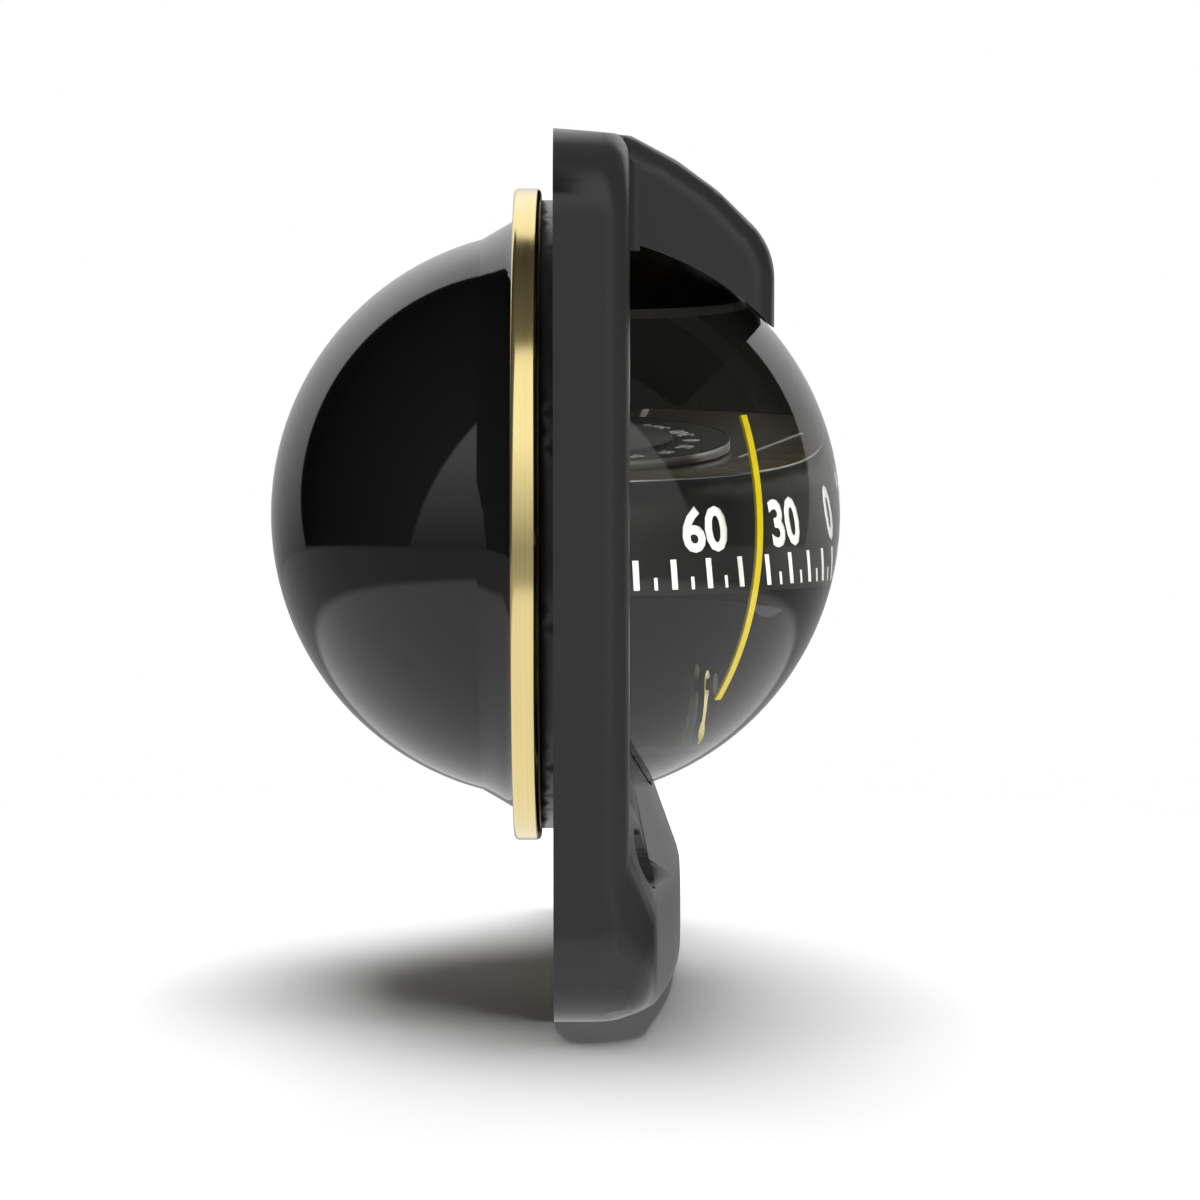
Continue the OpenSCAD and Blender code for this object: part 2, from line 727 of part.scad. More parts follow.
// Strip along a meridian, inside the dome, at an angle from the front
module lubber(turn) color("#e3c93a")
    rotate([0, 0, turn]) rotate([90, 0, -90])
        linear_extrude(lubber_w, center = true)
            intersection() {
                difference() {
                    circle(lubber_r, $fn = 160);
                    circle(lubber_r - lubber_t, $fn = 160);
                }
                polygon([[0, 0],
                    [sphere_d * cos(lubber_up), sphere_d * sin(lubber_up)],
                    [sphere_d, 0],
                    [sphere_d * cos(lubber_down), -sphere_d * sin(lubber_down)]]);
            }

module front_lubber() lubber(0);
module left_lubber() lubber(-lubber_side);
module right_lubber() lubber(lubber_side);

module fork_arm() {
    translate([arm_in, 0, 0]) rotate([90, 0, 90]) linear_extrude(arm_t) difference() {
        union() {
            circle(arm_top_r);
            polygon([[-arm_top_r, 0], [arm_top_r, 0], [arm_foot, base_top], [-arm_foot, base_top]]);
        }
        circle(pin_r + run_gap);
    }
}

module gimbal_fork() color("#2a2a28") difference() {
    union() {
        translate([0, 0, -base_z]) cylinder(h = base_t, r = base_r);
        fork_arm();
        mirror([1, 0, 0]) fork_arm();
    }
    for (a = [0 : 60 : 300])
        rotate([0, 0, a]) translate([vent_x, 0, -base_z - 1])
            cylinder(h = base_t + 2, r = vent_r);
}

module clinometer_plate() color("#26241f") {
    translate([0, -clino_y, 0]) rotate([90, 0, 0]) linear_extrude(clino_plate_t) {
        translate([0, -clino_z]) circle(clino_hub_r);
        polygon([[clino_hub_r, -clino_z], [-clino_hub_r, -clino_z],
            [-clino_half, base_top], [clino_half, base_top]]);
    }
    translate([0, -clino_y, -clino_z]) rotate([90, 0, 0]) {
        cylinder(h = pin_reach, d = clino_pin_d);
        translate([0, 0, pin_reach])
            cylinder(h = clino_head_t, r = clino_pin_d / 2 + clino_head_reach);
    }
}

module clinometer_pointer() color("#e3c93a")
    translate([0, -clino_y - clino_plate_t - side_gap, -clino_z])
        rotate([90, 0, 0]) difference() {
            union() {
                cylinder(h = clino_pointer_t, r = pointer_hub_r);
                linear_extrude(clino_pointer_t)
                    polygon([[-pointer_half, -pointer_half], [pointer_half, -pointer_half],
                        [pointer_tip_half, -clino_l], [-pointer_tip_half, -clino_l]]);
                translate([0, -clino_l * 0.62, 0])
                    cylinder(h = clino_pointer_t, r = pointer_weight_r);
            }
            translate([0, 0, -1]) cylinder(h = 3, d = clino_pin_d + 2 * run_gap);
        }

module compensator_cover() color("#2e2e2e")
    translate([-chamber_half + cover_gap, -cover_t, chamber_low + cover_gap])
        cube([2 * (chamber_half - cover_gap), cover_t, chamber_h - 2 * cover_gap]);

module gimbal_ring() color("#b98f3e") difference() {
    union() {
        translate([0, 0, -ring_h / 2]) cylinder(h = ring_h, r = ring_r);
        for (s = [-1, 1])
            rotate([0, s * 90, 0]) translate([0, 0, ring_in + ring_w / 2])
                cylinder(h = arm_out - ring_in - ring_w / 2, r = pin_r);
    }
    translate([0, 0, -ring_h]) cylinder(h = 2 * ring_h, r = ring_in);
    rotate([90, 0, 0]) cylinder(h = 4 * ring_r, r = pin_r + run_gap, center = true);
}

module cradle() color("#b98f3e") {
    translate([0, 0, -boss_down]) cylinder(h = boss_down + boss_up, r = boss_r);
    rotate([90, 0, 0]) cylinder(h = 2 * (ring_in - side_gap), r = pin_r + 0.6, center = true);
    rotate([90, 0, 0]) cylinder(h = 2 * (ring_r - 0.2), r = pin_r, center = true);
}

module counterweight() color("#8a8a86")
    translate([0, 0, -boss_down - weight_h]) cylinder(h = weight_h, r = weight_r);

module pivot_post() color("#cfd2d4") {
    cone_h = 1.3;
    tip_z = jewel_apex - tip_gap;
    translate([0, 0, boss_up]) cylinder(h = tip_z - cone_h - boss_up, r = post_r);
    translate([0, 0, tip_z - cone_h]) cylinder(h = cone_h, r1 = post_r, r2 = tip_r);
}

module card() color("#262626") rotate_extrude() polygon([
    [card_low_r, -card_drop], [card_top_r, card_top_z], [disc_r, card_top_z],
    [disc_r, disc_top], [jewel_r + 0.05, disc_top], [jewel_r + 0.05, disc_under],
    [disc_r - card_wall, disc_under], [disc_r - card_wall, card_top_z - card_wall],
    [card_top_r - card_wall, card_top_z - card_wall], [card_low_r - card_wall, -card_drop]]);

module card_cap() color("#1d1d1d") rotate_extrude() polygon([
    [0, disc_top], [cap_r, disc_top], [cap_r, disc_top + 0.5],
    [cap_top_r, disc_top + cap_h], [0, disc_top + cap_h]]);

module jewel_cup() color("#7f2f35") rotate_extrude() polygon([
    [0, disc_top], [jewel_r, disc_top], [jewel_r, disc_under],
    [jewel_flange_r, disc_under], [jewel_flange_r, jewel_low], [1.5, jewel_low],
    [0.2, jewel_apex], [0, jewel_apex]]);

module card_magnets() color("#6d6f73")
    for (s = [-1, 1])
        translate([-magnet_l / 2, s * magnet_off - magnet_w / 2,
                card_top_z - card_wall - magnet_h])
            cube([magnet_l, magnet_w, magnet_h]);

// Upright adjuster: slotted head below, collar inside the chamber, journal above
module adjuster(x, magnet_turn) {
    head_low = -bezel_down + adj_y * tan(draft_angle) + head_sink;
    head_top = chamber_top - 2 * end_gap;
    translate([x, -adj_y, 0]) difference() {
        union() {
            translate([0, 0, head_low]) cylinder(h = head_top - head_low, r = adj_r);
            translate([0, 0, chamber_low + end_gap])
                cylinder(h = adj_collar_t, r = adj_collar_r);
            translate([0, 0, head_top - e])
                cylinder(h = web_top - end_gap - web_roof - head_top + e, r = adj_top_r);
        }
        translate([-adj_r - 1, -slot_w / 2, head_low - 1])
            cube([2 * adj_r + 2, slot_w, slot_depth + 1]);
        translate([0, 0, comp_z]) rotate([0, 90, magnet_turn])
            cylinder(h = 4 * adj_r, d = comp_magnet_d + 0.02, center = true);
    }
}

module adjuster_magnet(x, magnet_turn)
    translate([x, -adj_y, comp_z]) rotate([0, 90, magnet_turn])
        cylinder(h = comp_magnet_l, d = comp_magnet_d, center = true);

module adjuster_ns() color("#c9a227") adjuster(-adj_x, 90);
module adjuster_ns_magnet() color("#6d6f73") adjuster_magnet(-adj_x, 90);
module adjuster_ew() color("#c9a227") adjuster(adj_x, 0);
module adjuster_ew_magnet() color("#6d6f73") adjuster_magnet(adj_x, 0);

bezel();
front_dome();
dome_seal();
rear_bowl();
clamp_ring();
diaphragm_frame();
expansion_diaphragm();
diaphragm_ring();
filler_plug();
filler_seal();
front_lubber();
left_lubber();
right_lubber();
gimbal_fork();
clinometer_plate();
compensator_cover();
gimbal_ring();
cradle();
counterweight();
pivot_post();
card();
card_cap();
jewel_cup();
card_magnets();
clinometer_pointer();
adjuster_ns();
adjuster_ns_magnet();
adjuster_ew();
adjuster_ew_magnet();
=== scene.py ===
# %% [markdown]
# # A bulkhead compass
# The compass is a sphere filled with clear fluid. Its front half is a clear dome, its rear half a glossy black
# bowl, and a brass ring clamps the two to a moulded frame that screws to a bulkhead. Its construction is already
# packed as solids. This lesson gives those solids their finishes, turns the bright ring with its rounded edges, and
# adds the fluid and the printing on the card. Lengths in it are in mm, and MM turns them into Blender's metres.

# %% Load the solids
import json
import math

import bpy
from mathutils import Matrix, Vector


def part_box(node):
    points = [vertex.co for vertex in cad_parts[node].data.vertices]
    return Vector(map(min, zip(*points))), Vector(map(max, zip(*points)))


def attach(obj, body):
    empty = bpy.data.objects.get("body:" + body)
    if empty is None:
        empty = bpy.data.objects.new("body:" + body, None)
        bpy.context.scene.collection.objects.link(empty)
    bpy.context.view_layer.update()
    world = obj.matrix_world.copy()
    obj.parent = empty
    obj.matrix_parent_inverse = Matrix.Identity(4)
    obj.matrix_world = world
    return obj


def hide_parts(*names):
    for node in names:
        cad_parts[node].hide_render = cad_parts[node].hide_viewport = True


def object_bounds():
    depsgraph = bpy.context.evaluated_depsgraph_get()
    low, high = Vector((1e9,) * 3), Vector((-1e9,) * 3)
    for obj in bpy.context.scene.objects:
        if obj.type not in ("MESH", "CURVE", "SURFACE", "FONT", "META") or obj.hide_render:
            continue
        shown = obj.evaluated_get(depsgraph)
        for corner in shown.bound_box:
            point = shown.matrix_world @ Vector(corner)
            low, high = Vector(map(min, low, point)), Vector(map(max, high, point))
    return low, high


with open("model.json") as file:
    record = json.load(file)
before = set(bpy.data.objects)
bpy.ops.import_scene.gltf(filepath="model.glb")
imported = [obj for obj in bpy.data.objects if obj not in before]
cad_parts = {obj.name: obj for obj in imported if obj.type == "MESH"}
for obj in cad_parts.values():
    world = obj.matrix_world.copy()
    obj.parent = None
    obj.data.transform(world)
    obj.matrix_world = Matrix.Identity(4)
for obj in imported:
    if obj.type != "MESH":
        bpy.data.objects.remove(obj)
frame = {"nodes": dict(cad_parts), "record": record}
cad_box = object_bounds()
nodes = frame["nodes"]
MM = 0.001
HAIR = 0.01  # points nearer than this to a place count as in it
print("solids:", len(nodes), "box in mm:", [round(v / MM, 1) for v in cad_box[1] - cad_box[0]])

# %% [markdown]
# The photograph was taken from the compass's left side and a little above. A long lens stood about 0.6 m away, so
# the camera here is worked out from that distance, its two angles and where the sphere's centre falls in the frame.
# It could be moved by hand until the picture fits, but then nothing would say why it stands where it does. Distances
# in this cell are in metres, and the sensor's width is in mm.

# %% Camera
PHOTO_SIZE = 1200
CAMERA_DISTANCE = 0.600
CAMERA_PITCH = math.radians(5.35)
CAMERA_YAW = math.radians(0.22)
FOCAL_PIXELS = 4259
SPHERE_PIXEL = (555.7, 514.6)
SENSOR_WIDTH = 36
NEAREST_SEEN = 0.01

forward = Vector((
    math.cos(CAMERA_YAW) * math.cos(CAMERA_PITCH),
    -math.sin(CAMERA_YAW) * math.cos(CAMERA_PITCH),
    -math.sin(CAMERA_PITCH),
))
right = forward.cross(Vector((0, 0, 1))).normalized()
up = right.cross(forward)
aside = (SPHERE_PIXEL[0] - PHOTO_SIZE / 2) / FOCAL_PIXELS * CAMERA_DISTANCE
above = (PHOTO_SIZE / 2 - SPHERE_PIXEL[1]) / FOCAL_PIXELS * CAMERA_DISTANCE
camera_data = bpy.data.cameras.new("camera")
camera_data.sensor_width = SENSOR_WIDTH
camera_data.lens = SENSOR_WIDTH * FOCAL_PIXELS / PHOTO_SIZE
camera_data.clip_start = NEAREST_SEEN
camera = bpy.data.objects.new("camera", camera_data)
bpy.context.scene.collection.objects.link(camera)
camera.location = -(CAMERA_DISTANCE * forward + aside * right + above * up)
camera.rotation_euler = Matrix((right, up, -forward)).transposed().to_euler()
bpy.context.scene.camera = camera
print("camera at", [round(v, 3) for v in camera.location], "lens", round(camera_data.lens, 1))

# %% [markdown]
# Colours are picked as sRGB hex values, as a paint chart gives them, but shaders work in linear light. One function
# turns the first into the second. A second one starts a material, and a third adds a node with its settings and links.

# %% Helpers for materials
def linear(hex_colour):
    """The linear colour of an sRGB hex value, with full opacity."""
    channels = [int(hex_colour[i:i + 2], 16) / 255 for i in (1, 3, 5)]
    return tuple(c / 12.92 if c <= 0.04045 else ((c + 0.055) / 1.055) ** 2.4 for c in channels) + (1.0,)


def start_material(name, colour, roughness, **plain):
    """A material and its shader. Each value in plain goes to the socket of that name, with _ for a space."""
    material = bpy.data.materials.new(name)
    material.use_nodes = True
    shader = material.node_tree.nodes["Principled BSDF"]
    shader.inputs["Base Color"].default_value = linear(colour)
    shader.inputs["Roughness"].default_value = roughness
    for socket, value in plain.items():
        shader.inputs[socket.replace("_", " ")].default_value = value
    print("material:", name)
    return material, shader


def add_node(tree, kind, links=(), **settings):
    """A node with its settings. Each socket in links, by name or place, gets another node's output or a value."""
    node = tree.nodes.new(kind)
    for name, value in settings.items():
        if hasattr(node, name):
            setattr(node, name, value)
        else:
            node.inputs[name.replace("_", " ")].default_value = value
    for socket, source in dict(links).items():
        if isinstance(source, bpy.types.NodeSocket):
            tree.links.new(source, node.inputs[socket])
        else:
            node.inputs[socket].default_value = source
    return node


def grain(material, shader, size_mm, height_mm, detail=3.0):
    """Fine relief whose bumps are size_mm across and height_mm high."""
    tree = material.node_tree
    place = add_node(tree, "ShaderNodeTexCoord").outputs["Object"]
    noise = add_node(tree, "ShaderNodeTexNoise", {"Vector": place}, Scale=1 / (size_mm * MM), Detail=detail)
    bump = add_node(tree, "ShaderNodeBump", {"Height": noise.outputs["Fac"]}, Strength=1.0, Distance=height_mm * MM)
    tree.links.new(bump.outputs["Normal"], shader.inputs["Normal"])
    return noise


def vary(material, shader, source, low, high):
    """Roughness that runs from low to high with the pattern."""
    spread = add_node(material.node_tree, "ShaderNodeMapRange", {"Value": source}, To_Min=low, To_Max=high)
    material.node_tree.links.new(spread.outputs["Result"], shader.inputs["Roughness"])


COLOUR_A, COLOUR_B, COLOUR_RESULT = 6, 7, 2  # a Mix node's colour sockets, whose names its other sockets share


def tint(material, shader, source, dark, pale):
    """Base colour that runs from dark to pale with the pattern."""
    colours = {"Factor": source, COLOUR_A: linear(dark), COLOUR_B: linear(pale)}
    blend = add_node(material.node_tree, "ShaderNodeMix", colours, data_type="RGBA")
    material.node_tree.links.new(blend.outputs[COLOUR_RESULT], shader.inputs["Base Color"])

# %% [markdown]
# The frame is moulded ABS in a satin black. The mould's surface was spark-eroded, which leaves a very fine grain
# that scatters highlights. The grain is drawn about 0.25 mm across so that it just shows.

# %% Moulded black ABS
abs_black, shader = start_material("moulded_abs_satin_black", "#252525", 0.3, IOR=1.53, Specular_IOR_Level=0.35)
noise = grain(abs_black, shader, 0.25, 0.002)
vary(abs_black, shader, noise.outputs["Fac"], 0.25, 0.34)
tint(abs_black, shader, noise.outputs["Fac"], "#232323", "#282828")

# %% [markdown]
# The rear bowl is polished acrylic, black all through, with mirror-like reflections and hardly any relief. Its inside
# is left matt as moulded, and painted a dark olive: painted light, for the light that reaches it through the oil and
# off the brass around it.

# %% Polished black acrylic
acrylic_black, shader = start_material("polished_acrylic_black", "#060606", 0.04, IOR=1.49)
noise = grain(acrylic_black, shader, 12.0, 0.004, 1.0)
vary(acrylic_black, shader, noise.outputs["Fac"], 0.03, 0.06)
# Painted light: the inside's dark olive stands for light through the oil and off the brass, on a black wall.
bowl_inside_painted_light, shader = start_material("acrylic_inside_painted_olive_light", "#403A28", 0.35, IOR=1.49)
noise = grain(bowl_inside_painted_light, shader, 0.6, 0.004)
tint(bowl_inside_painted_light, shader, noise.outputs["Fac"], "#3A3424", "#464030")

# %% [markdown]
# The clamp ring is lacquered brass, turned on a lathe. Turning leaves fine rings round the sphere's axis, a quarter of
# a mm apart, so the roughness and the colour vary with the distance along that axis and hardly at all across it.

# %% Turned brass
RINGS_PER_METRE, BLOTCHES_PER_METRE = 4000, 20
brass, shader = start_material("turned_brass_lacquered", "#E2CF90", 0.24, Metallic=1.0)
tree = brass.node_tree
place = add_node(tree, "ShaderNodeTexCoord").outputs["Object"]
scale = (BLOTCHES_PER_METRE, RINGS_PER_METRE, BLOTCHES_PER_METRE)
stretch = add_node(tree, "ShaderNodeMapping", {"Vector": place}, Scale=scale)
rings = add_node(tree, "ShaderNodeTexNoise", {"Vector": stretch.outputs["Vector"]}, Scale=1.0, Detail=2.0)
vary(brass, shader, rings.outputs["Fac"], 0.13, 0.21)
tint(brass, shader, rings.outputs["Fac"], "#DAC584", "#EAD89C")

# %% [markdown]
# The dome is clear acrylic, and the sphere is filled with a light mineral oil. Filled, the sphere is a strong lens
# that makes the card look half as large again. Only the outside of the dome mirrors the studio. Where oil touches
# acrylic the light bends by their ratio, 1.49 to 1.45, which is almost nothing, so the dome's inner faces get that
# ratio as their index. The oil's own surface lies against them and must not bend the light again, so it gets 1.0.

# %% Clear acrylic and damping fluid
ACRYLIC_TO_OIL = 1.0276
acrylic_clear, shader = start_material("clear_acrylic", "#FFFFFF", 0.0, IOR=1.49, Transmission_Weight=1.0)
grain(acrylic_clear, shader, 15.0, 0.001, 0.0)
wetted_acrylic, shader = start_material(
    "clear_acrylic_wetted_by_oil", "#FFFFFF", 0.0, IOR=ACRYLIC_TO_OIL, Transmission_Weight=1.0)
grain(wetted_acrylic, shader, 15.0, 0.001, 0.0)
mineral_oil, shader = start_material("damping_mineral_oil", "#FDFBF2", 0.0, IOR=1.0, Transmission_Weight=1.0)
grain(mineral_oil, shader, 20.0, 0.001, 0.0)

# %% [markdown]
# The gimbal parts are brass blackened in a salt bath, so that they don't glitter behind the card. The expansion
# diaphragm keeps its bright brass, and the rim that holds it is polished steel. The card is black enamel, and its flat
# top a glossier olive one, the colour that the photograph shows there: painted light, for the light that falls on it
# from above. The lubber lines are yellow acrylic strips, and the marks on the card are white ink, printed thickly
# enough to catch the light.

# %% Inner finishes
matt_black, shader = start_material("matt_black_enamel", "#1E1D1A", 0.6, IOR=1.5)
noise = grain(matt_black, shader, 0.3, 0.003)
vary(matt_black, shader, noise.outputs["Fac"], 0.5, 0.68)
card_black, shader = start_material("card_black_enamel", "#101010", 0.4, IOR=1.5)
noise = grain(card_black, shader, 0.8, 0.001)
vary(card_black, shader, noise.outputs["Fac"], 0.34, 0.46)
# Painted light: the olive on the card's flat top stands for the light that falls on it from above.
card_top_painted_light, shader = start_material("card_top_painted_light_olive", "#4A4228", 0.3, IOR=1.5)
noise = grain(card_top_painted_light, shader, 0.4, 0.002)
tint(card_top_painted_light, shader, noise.outputs["Fac"], "#463E25", "#50472C")
seal_rubber, shader = start_material("nitrile_rubber", "#151515", 0.75, IOR=1.52)
grain(seal_rubber, shader, 0.3, 0.005)
dark_brass, shader = start_material("blackened_brass", "#2B2822", 0.45, Metallic=1.0)
noise = grain(dark_brass, shader, 0.4, 0.002)
vary(dark_brass, shader, noise.outputs["Fac"], 0.38, 0.52)
diaphragm_brass, shader = start_material("diaphragm_sheet_brass", "#B9974A", 0.32, Metallic=1.0)
grain(diaphragm_brass, shader, 0.5, 0.003)
steel, shader = start_material("polished_steel", "#C4C5C6", 0.2, Metallic=1.0)
noise = grain(steel, shader, 0.3, 0.002)
vary(steel, shader, noise.outputs["Fac"], 0.15, 0.26)
yellow, shader = start_material("yellow_acrylic_strip", "#C9B414", 0.22, IOR=1.49)
noise = grain(yellow, shader, 1.0, 0.002)
tint(yellow, shader, noise.outputs["Fac"], "#C0AA10", "#D2BE1A")
ruby, shader = start_material("jewel_ruby", "#7A1420", 0.08, IOR=1.76)
grain(ruby, shader, 2.0, 0.001)
white_ink, shader = start_material("white_screen_ink", "#FAFAF7", 0.5, IOR=1.5)
grain(white_ink, shader, 0.15, 0.002)
print("materials:", len(bpy.data.materials))

# %% [markdown]
# Every solid gets the finish of its slot in the record, so that pieces of one stock share one material.

# %% Give the solids their finishes
FINISHES = {
    "moulding": abs_black, "clear": acrylic_clear, "bowl": acrylic_black, "ring": brass, "rubber": seal_rubber,
    "inner_black": matt_black, "diaphragm": diaphragm_brass, "inner_metal": dark_brass, "steel": steel,
    "lubber": yellow, "card": card_black, "jewel": ruby,
}
for subpart in frame["record"]["subparts"]:
    solid = nodes[subpart["node"]]
    solid.data.materials.clear()
    solid.data.materials.append(FINISHES[subpart["material_slot"]])
nodes["front_dome"].visible_shadow = False

# %% [markdown]
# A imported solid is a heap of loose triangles, which shade as flat facets. The frame of the compass, its dome and
# its bowl show soft highlights. They could be modelled anew, but every hole and edge would then have to be fitted
# again. Instead each is copied, its doubled points are merged and it is shaded smooth wherever two faces meet at a
# small angle. Beside a hole the triangles are long and thin and would smear the highlight, so a Weighted Normal
# modifier lets the large faces decide. The copy then stands for the solid.

# %% Helpers for shaping
DOUBLES = 0.002  # points nearer than this are merged into one


def deselect_all():
    for item in bpy.context.selected_objects:
        item.select_set(False)


def take(piece):
    """Selects piece alone and makes it the one that operators act on."""
    deselect_all()
    piece.select_set(True)
    bpy.context.view_layer.objects.active = piece


def apply_place(piece):
    take(piece)
    bpy.ops.object.transform_apply(location=True, rotation=True, scale=True)


def pick(piece, wanted):
    """Edit mode, with the points where wanted says selected, and the edges and faces between them."""
    bpy.ops.object.mode_set(mode="OBJECT")
    mesh = piece.data
    for vertex in mesh.vertices:
        vertex.select = wanted(vertex.co / MM)
    for part in list(mesh.edges) + list(mesh.polygons):
        part.select = all(mesh.vertices[i].select for i in part.vertices)
    bpy.ops.object.mode_set(mode="EDIT")


def shade_softly(piece, degrees):
    """Smooth shading over edges that turn less than degrees, with the large faces deciding its direction."""
    bpy.ops.object.shade_smooth_by_angle(angle=math.radians(degrees))
    weigh = piece.modifiers.new("weigh", "WEIGHTED_NORMAL")
    weigh.mode = "FACE_AREA"
    weigh.keep_sharp = True
    bpy.ops.object.modifier_apply(modifier="weigh")

# %% Smooth copies of the large solids
def smooth_copy(node, body, degrees):
    copy = bpy.data.objects.new(node + "_smooth", nodes[node].data.copy())
    bpy.context.scene.collection.objects.link(copy)
    take(copy)
    bpy.ops.object.mode_set(mode="EDIT")
    bpy.ops.mesh.select_all(action="SELECT")
    bpy.ops.mesh.remove_doubles(threshold=DOUBLES * MM)
    bpy.ops.object.mode_set(mode="OBJECT")
    shade_softly(copy, degrees)
    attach(copy, body)
    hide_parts(node)
    print(copy.name, "has", len(copy.data.vertices), "points")
    return copy


smooth_copy("bezel", "housing", 28)
bowl = smooth_copy("rear_bowl", "housing", 12)
dome = smooth_copy("front_dome", "housing", 30)
dome.visible_shadow = False
card = smooth_copy("card", "card_body", 30)
smooth_copy("card_cap", "card_body", 30)
smooth_copy("gimbal_ring", "gimbal_ring_body", 30)
pointer = smooth_copy("clinometer_pointer", "pointer_body", 30)

# %% [markdown]
# Some copies carry a second finish: the dome on its inside, and painted light on two more. The bowl's inside is
# painted olive for the light that reaches it through the oil and off the brass, and the card's flat top olive for the
# light that falls on it from above. The pointer of the clinometer is blackened, and only the face that its reader sees
# is painted yellow. The faces are picked by where they are and where they look. Beside the filler port the polished
# bowl's highlight broke up into teeth along the triangles. The bowl is a true sphere outside, so it is shaded there
# with the sphere's own normals.

# %% Helpers for second finishes
def finish_where(piece, material, wanted):
    """Gives material to the faces for which wanted is true of their centre, in mm, and their normal."""
    piece.data.materials.append(material)
    count = 0
    for face in piece.data.polygons:
        if wanted(face.center / MM, face.normal):
            face.material_index = len(piece.data.materials) - 1
            count += 1
    print(piece.name, "has", count, "faces in", material.name)


ON_SPHERE, FACING = 0.06, 0.7


def round_normals(piece, radius):
    """Shading of a true sphere about the origin, for the faces that look outwards with all points near its radius."""
    mesh = piece.data
    normals = [Vector(corner.vector) for corner in mesh.corner_normals]
    count = 0
    for face in mesh.polygons:
        on_sphere = all(abs(mesh.vertices[i].co.length / MM - radius) < ON_SPHERE for i in face.vertices)
        if on_sphere and face.normal.dot(face.center.normalized()) > FACING:
            for corner in face.loop_indices:
                normals[corner] = mesh.vertices[mesh.loops[corner].vertex_index].co.normalized()
            count += 1
    mesh.normals_split_custom_set(normals)
    print(piece.name, "has", count, "faces with the sphere's own normals")

# %% Finish the bowl, the dome and the pointer
BELT = 5  # a wall's radius is read from its points this close to the height of the sphere's centre
WALL = 0.3  # faces this close to a wall's inner radius belong to its inside


def inner_radius(node, behind=-math.inf):
    """The inner radius of a node's wall, in mm, from its points behind a depth."""
    points = [v.co / MM for v in nodes[node].data.vertices]
    return min(at.length for at in points if abs(at.z) < BELT and at.y > behind)


dome_in = inner_radius("front_dome")
bowl_in = inner_radius("rear_bowl", behind=30)
bowl_out = max(v.co.y for v in nodes["rear_bowl"].data.vertices) / MM
round_normals(bowl, bowl_out)
# The bowl's inside gets its painted olive light.
finish_where(bowl, bowl_inside_painted_light, lambda at, looks: at.length < bowl_in + WALL and looks.dot(at) < 0)
finish_where(dome, wetted_acrylic, lambda at, looks: at.length < dome_in + WALL and looks.dot(at) < 0)
finish_where(pointer, dark_brass, lambda at, looks: looks.y > -FACING)
print("dome inside", round(dome_in, 2), "bowl inside", round(bowl_in, 2), "outside", round(bowl_out, 2), "mm")

# %% The card's measures, and painted light on its top
DISC_FOOT = 24  # points of the card further out than this are the flat plate's and the skirt's
LEVEL, DISC_DEPTH = 0.9, 0.2  # faces that look up, and lie further than this below the disc's top, get the painted olive light from above
card_points = [v.co / MM for v in card.data.vertices]
card_low, card_high = (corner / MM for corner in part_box("card"))
disc_z = card_high.z
plate_z = max(round(at.z, 3) for at in card_points if at.length > DISC_FOOT)
disc_r = max(math.hypot(at.x, at.y) for at in card_points if at.z > disc_z - HAIR)
top_r = max(math.hypot(at.x, at.y) for at in card_points if abs(at.z - plate_z) < HAIR)
low_r = max(math.hypot(at.x, at.y) for at in card_points)
finish_where(card, card_top_painted_light, lambda at, looks: looks.z > LEVEL and at.z < disc_z - DISC_DEPTH)
print("card: plate at", plate_z, "radius", round(top_r, 2), "disc at", round(disc_z, 2), "radius", round(disc_r, 2))

# %% [markdown]
# The clamp ring is the one bright piece, so its edges are seen. The photograph shows them rounded, the front one as a
# dark band about 1 mm wide, for which 0.8 mm was chosen. A smooth copy of the solid could stand for it, as for the
# other pieces, but its rear edge looked serrated, so the ring is made as a lathe makes it. A flat section is drawn at
# the solid's own radii, its inner lip is extruded and its two outer corners are rounded.

# %% Section of the clamp ring
NEAR_LIP, FRONT_ROUND, BACK_ROUND, ROUND_STEPS = 0.2, 0.8, 0.7, 6
ring_points = [(math.hypot(v.co.x, v.co.z) / MM, v.co.y / MM) for v in nodes["clamp_ring"].data.vertices]
ring_out, lip_in = max(r for r, y in ring_points), min(r for r, y in ring_points)
ring_front, ring_back = min(y for r, y in ring_points), max(y for r, y in ring_points)
ring_in = min(r for r, y in ring_points if y < ring_front + HAIR)
lip_front = min(y for r, y in ring_points if r < lip_in + NEAR_LIP)
deselect_all()
middle = ((ring_in + ring_out) / 2 * MM, (ring_front + ring_back) / 2 * MM, 0)
bpy.ops.mesh.primitive_plane_add(size=1, location=middle)
ring = bpy.context.object
ring.name = "clamp_ring_turned"
ring.scale = ((ring_out - ring_in) * MM, (ring_back - ring_front) * MM, 1)
apply_place(ring)
pick(ring, lambda at: True)
bpy.ops.mesh.bisect(plane_co=(0, lip_front * MM, 0), plane_no=(0, 1, 0))
pick(ring, lambda at: at.x < ring_in + HAIR and at.y > lip_front - HAIR)
bpy.ops.mesh.extrude_edges_move(TRANSFORM_OT_translate={"value": ((lip_in - ring_in) * MM, 0, 0)})
for corner_y, size in ((ring_front, FRONT_ROUND), (ring_back, BACK_ROUND)):
    pick(ring, lambda at: at.x > ring_out - HAIR and abs(at.y - corner_y) < HAIR)
    bpy.ops.mesh.bevel(offset=size * MM, segments=ROUND_STEPS, affect="VERTICES")
print("ring: outside", round(ring_out, 2), "inside", round(ring_in, 2), "lip", round(lip_in, 2), "mm")

# %% [markdown]
# Only the section's outline is wanted on the lathe, so its faces go first, and then the two edges that were left
# inside it by the cut and the extrusion. The outline is spun round the sphere's axis, and where the last turn meets
# the first the doubled points are merged.

